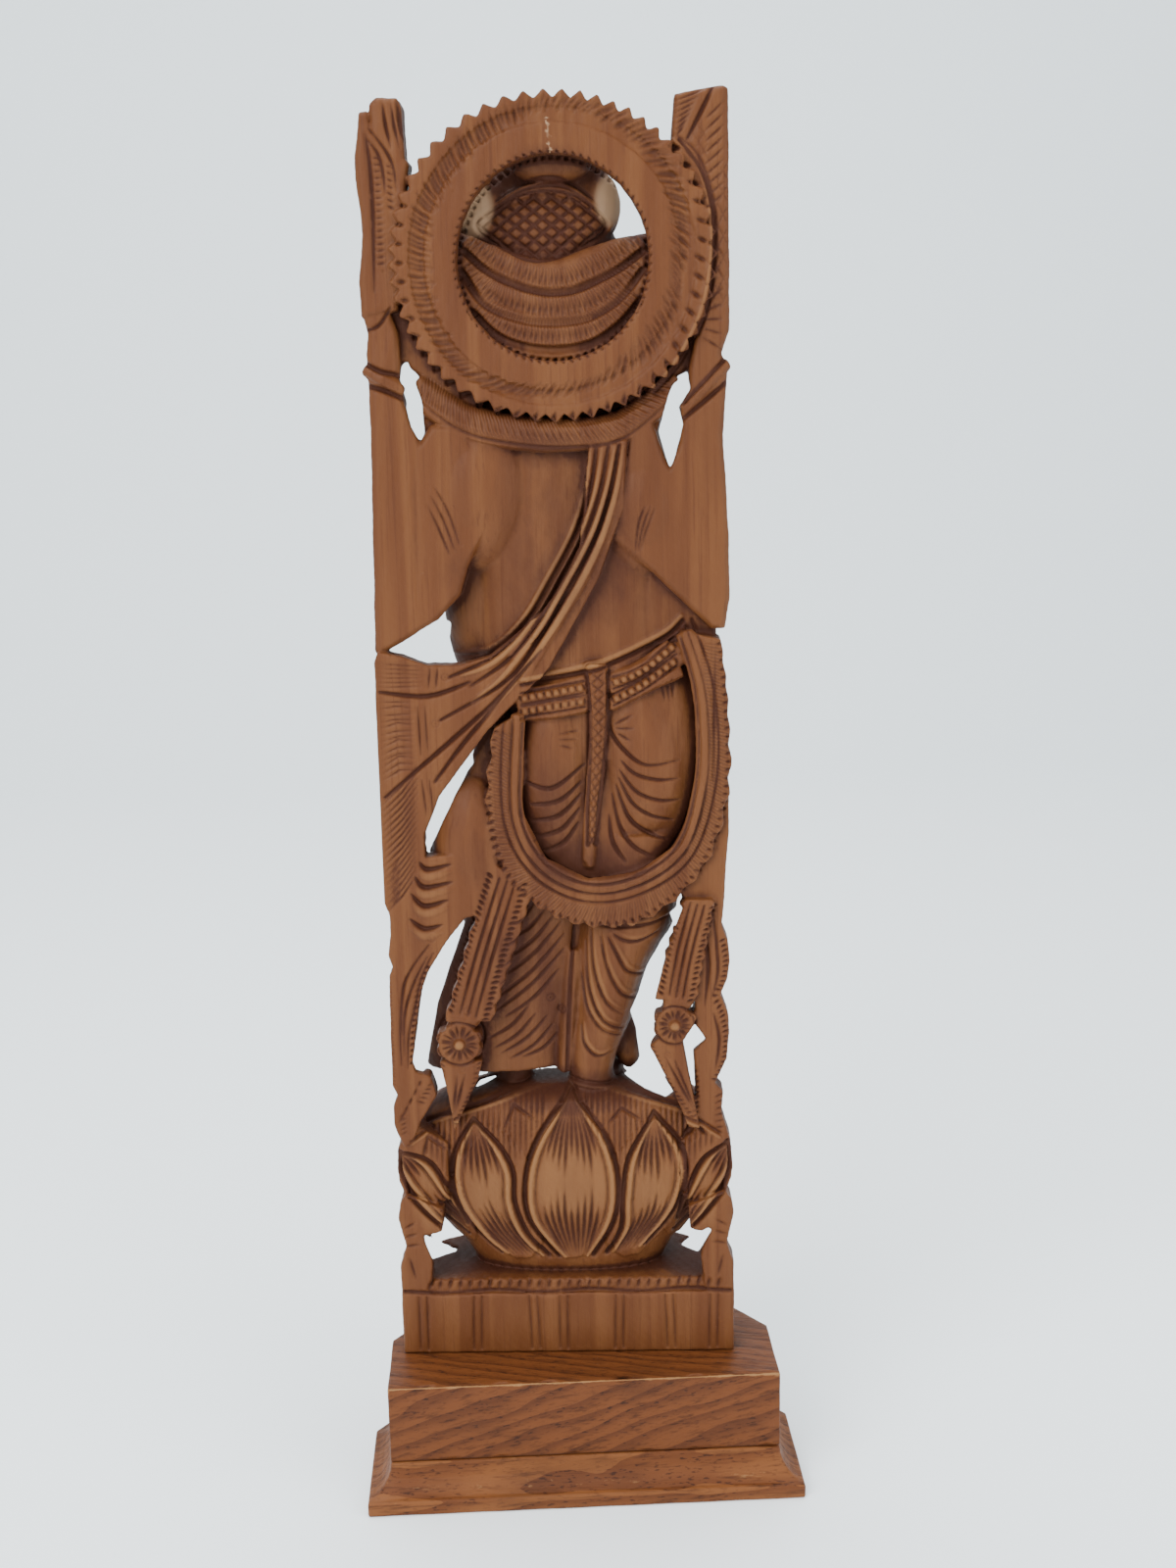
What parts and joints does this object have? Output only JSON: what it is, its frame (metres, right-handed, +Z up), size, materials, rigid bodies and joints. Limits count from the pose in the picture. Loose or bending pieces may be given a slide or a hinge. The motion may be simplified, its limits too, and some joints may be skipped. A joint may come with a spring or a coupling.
{
  "type": "carved wooden ganesha figure on a plinth",
  "caption": "Standing elephant-headed deity carved in pierced relief from one upright wooden board, with a toothed halo and a lotus base, glued on a coved wooden plinth.",
  "frame": {"origin": "middle of the plinth's underside, as a box in plan", "axes": "+Z up along the figure, the figure's front and the plinth's cut-off corners towards -Y, its carved back towards +Y, +X to the figure's left"},
  "size_m": [0.134, 0.08, 0.4145],
  "materials": {
    "carved_wood": "waxed wood, tan on the raised parts and dark red-brown in the recesses",
    "plinth_wood": "darker waxed wood with a sheen, worn pale along the edges"
  },
  "bodies": {
    "root": {"figure": "carved_wood", "plinth_top": "plinth_wood", "plinth_foot": "plinth_wood"}
  },
  "joints": []
}
